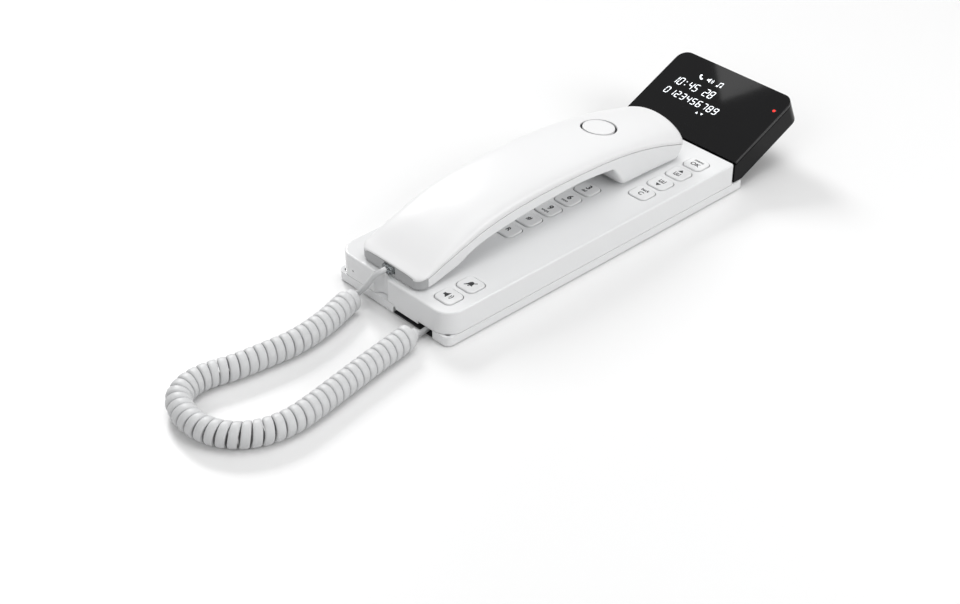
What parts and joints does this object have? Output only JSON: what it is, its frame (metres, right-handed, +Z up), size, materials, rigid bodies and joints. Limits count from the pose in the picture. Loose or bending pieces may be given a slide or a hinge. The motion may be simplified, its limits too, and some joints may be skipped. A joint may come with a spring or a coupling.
{
  "type": "slimline corded telephone",
  "caption": "Slimline corded telephone with a folding display, an arched handset over the keypad and a curly cord.",
  "frame": {"origin": "on the table surface, under the middle of the phone without its cord", "axes": "+X to the user's right, +Y along the length from the cord end to the display end, +Z up"},
  "size_m": [0.0927, 0.4181, 0.0506],
  "materials": {
    "white_gloss_shell": "high gloss, moulded",
    "white_satin_shell": "fine satin, moulded",
    "key_cap": "satin, printed marks",
    "display_gloss": "mirror gloss",
    "display_case": "gloss",
    "black_plastic": "matt",
    "circuit_board": "solder resist",
    "grey_rubber": "matt",
    "steel": "plated",
    "red_light_pipe": "clear tinted",
    "cord_jacket": "satin PVC",
    "clear_plug": "clear"
  },
  "bodies": {
    "base": {"base_top_cover": "white_gloss_shell", "base_bottom_housing": "white_satin_shell", "main_circuit_board": "circuit_board", "keypad_rubber_mat": "grey_rubber", "function_key_mat": "grey_rubber", "audio_key_mat": "grey_rubber", "base_screw_1": "steel", "base_screw_2": "steel", "base_screw_3": "steel", "base_screw_4": "steel", "rubber_foot_1": "grey_rubber", "rubber_foot_2": "grey_rubber", "rubber_foot_3": "grey_rubber", "rubber_foot_4": "grey_rubber", "base_loudspeaker": "black_plastic", "base_microphone": "steel", "ballast_weight": "steel", "base_cord_jack": "black_plastic", "line_cord_jack": "black_plastic", "curly_cord_coil": "cord_jacket", "handset_lead": "cord_jacket", "base_lead": "cord_jacket", "base_cord_plug": "clear_plug"},
    "handset": {"handset_back_shell": "white_satin_shell", "handset_face_shell": "white_satin_shell", "handset_back_disc": "white_satin_shell", "earpiece_receiver": "black_plastic", "handset_microphone": "steel", "handset_weight": "steel", "handset_cord_jack": "black_plastic", "handset_cord_plug": "clear_plug"},
    "display": {"display_front_lens": "display_gloss", "display_rear_housing": "display_case", "lcd_module": "black_plastic", "display_circuit_board": "circuit_board", "message_light_pipe": "red_light_pipe", "hinge_pin_left": "steel", "hinge_pin_right": "steel"},
    "hook_switch": {"hook_switch_plunger": "white_satin_shell"},
    "key_redial_body": {"key_redial": "key_cap"},
    "key_mute_body": {"key_mute": "key_cap"},
    "key_recall_body": {"key_recall": "key_cap"},
    "key_star_body": {"key_star": "key_cap"},
    "key_0_body": {"key_0": "key_cap"},
    "key_hash_body": {"key_hash": "key_cap"},
    "key_7_body": {"key_7": "key_cap"},
    "key_8_body": {"key_8": "key_cap"},
    "key_9_body": {"key_9": "key_cap"},
    "key_4_body": {"key_4": "key_cap"},
    "key_5_body": {"key_5": "key_cap"},
    "key_6_body": {"key_6": "key_cap"},
    "key_1_body": {"key_1": "key_cap"},
    "key_2_body": {"key_2": "key_cap"},
    "key_3_body": {"key_3": "key_cap"},
    "key_clear_body": {"key_clear": "key_cap"},
    "key_down_body": {"key_down": "key_cap"},
    "key_up_body": {"key_up": "key_cap"},
    "key_confirm_body": {"key_confirm": "key_cap"},
    "key_speaker_body": {"key_speaker": "key_cap"},
    "key_ringer_body": {"key_ringer": "key_cap"}
  },
  "joints": [
    {"name": "handset_lift", "type": "slide", "parent": "base", "child": "handset", "axis": [0, 0, 1], "range_m": [0, 0.07]},
    {"name": "display_fold", "type": "hinge", "parent": "base", "child": "display", "pos_m": [0, 0.0891, 0.00995], "axis": [1, 0, 0], "range_deg": [-23.8, 0]},
    {"name": "hook_switch_travel", "type": "slide", "parent": "base", "child": "hook_switch", "axis": [0, 0, 1], "range_m": [0, 0.0024]},
    {"name": "key_redial_press", "type": "slide", "parent": "base", "child": "key_redial_body", "axis": [0, 0, -1], "range_m": [0, 0.001], "stiffness_N_per_m": 600, "springref_m": -0.0003},
    {"name": "key_mute_press", "type": "slide", "parent": "base", "child": "key_mute_body", "axis": [0, 0, -1], "range_m": [0, 0.001], "stiffness_N_per_m": 600, "springref_m": -0.0003},
    {"name": "key_recall_press", "type": "slide", "parent": "base", "child": "key_recall_body", "axis": [0, 0, -1], "range_m": [0, 0.001], "stiffness_N_per_m": 600, "springref_m": -0.0003},
    {"name": "key_star_press", "type": "slide", "parent": "base", "child": "key_star_body", "axis": [0, 0, -1], "range_m": [0, 0.001], "stiffness_N_per_m": 600, "springref_m": -0.0003},
    {"name": "key_0_press", "type": "slide", "parent": "base", "child": "key_0_body", "axis": [0, 0, -1], "range_m": [0, 0.001], "stiffness_N_per_m": 600, "springref_m": -0.0003},
    {"name": "key_hash_press", "type": "slide", "parent": "base", "child": "key_hash_body", "axis": [0, 0, -1], "range_m": [0, 0.001], "stiffness_N_per_m": 600, "springref_m": -0.0003},
    {"name": "key_7_press", "type": "slide", "parent": "base", "child": "key_7_body", "axis": [0, 0, -1], "range_m": [0, 0.001], "stiffness_N_per_m": 600, "springref_m": -0.0003},
    {"name": "key_8_press", "type": "slide", "parent": "base", "child": "key_8_body", "axis": [0, 0, -1], "range_m": [0, 0.001], "stiffness_N_per_m": 600, "springref_m": -0.0003},
    {"name": "key_9_press", "type": "slide", "parent": "base", "child": "key_9_body", "axis": [0, 0, -1], "range_m": [0, 0.001], "stiffness_N_per_m": 600, "springref_m": -0.0003},
    {"name": "key_4_press", "type": "slide", "parent": "base", "child": "key_4_body", "axis": [0, 0, -1], "range_m": [0, 0.001], "stiffness_N_per_m": 600, "springref_m": -0.0003},
    {"name": "key_5_press", "type": "slide", "parent": "base", "child": "key_5_body", "axis": [0, 0, -1], "range_m": [0, 0.001], "stiffness_N_per_m": 600, "springref_m": -0.0003},
    {"name": "key_6_press", "type": "slide", "parent": "base", "child": "key_6_body", "axis": [0, 0, -1], "range_m": [0, 0.001], "stiffness_N_per_m": 600, "springref_m": -0.0003},
    {"name": "key_1_press", "type": "slide", "parent": "base", "child": "key_1_body", "axis": [0, 0, -1], "range_m": [0, 0.001], "stiffness_N_per_m": 600, "springref_m": -0.0003},
    {"name": "key_2_press", "type": "slide", "parent": "base", "child": "key_2_body", "axis": [0, 0, -1], "range_m": [0, 0.001], "stiffness_N_per_m": 600, "springref_m": -0.0003},
    {"name": "key_3_press", "type": "slide", "parent": "base", "child": "key_3_body", "axis": [0, 0, -1], "range_m": [0, 0.001], "stiffness_N_per_m": 600, "springref_m": -0.0003},
    {"name": "key_clear_press", "type": "slide", "parent": "base", "child": "key_clear_body", "axis": [0, 0, -1], "range_m": [0, 0.001], "stiffness_N_per_m": 600, "springref_m": -0.0003},
    {"name": "key_down_press", "type": "slide", "parent": "base", "child": "key_down_body", "axis": [0, 0, -1], "range_m": [0, 0.001], "stiffness_N_per_m": 600, "springref_m": -0.0003},
    {"name": "key_up_press", "type": "slide", "parent": "base", "child": "key_up_body", "axis": [0, 0, -1], "range_m": [0, 0.001], "stiffness_N_per_m": 600, "springref_m": -0.0003},
    {"name": "key_confirm_press", "type": "slide", "parent": "base", "child": "key_confirm_body", "axis": [0, 0, -1], "range_m": [0, 0.001], "stiffness_N_per_m": 600, "springref_m": -0.0003},
    {"name": "key_speaker_press", "type": "slide", "parent": "base", "child": "key_speaker_body", "axis": [0, 0, -1], "range_m": [0, 0.001], "stiffness_N_per_m": 600, "springref_m": -0.0003},
    {"name": "key_ringer_press", "type": "slide", "parent": "base", "child": "key_ringer_body", "axis": [0, 0, -1], "range_m": [0, 0.001], "stiffness_N_per_m": 600, "springref_m": -0.0003}
  ],
  "couplings": [
    {"joint": "hook_switch_travel", "follows": "handset_lift", "ratio": 0.034}
  ]
}
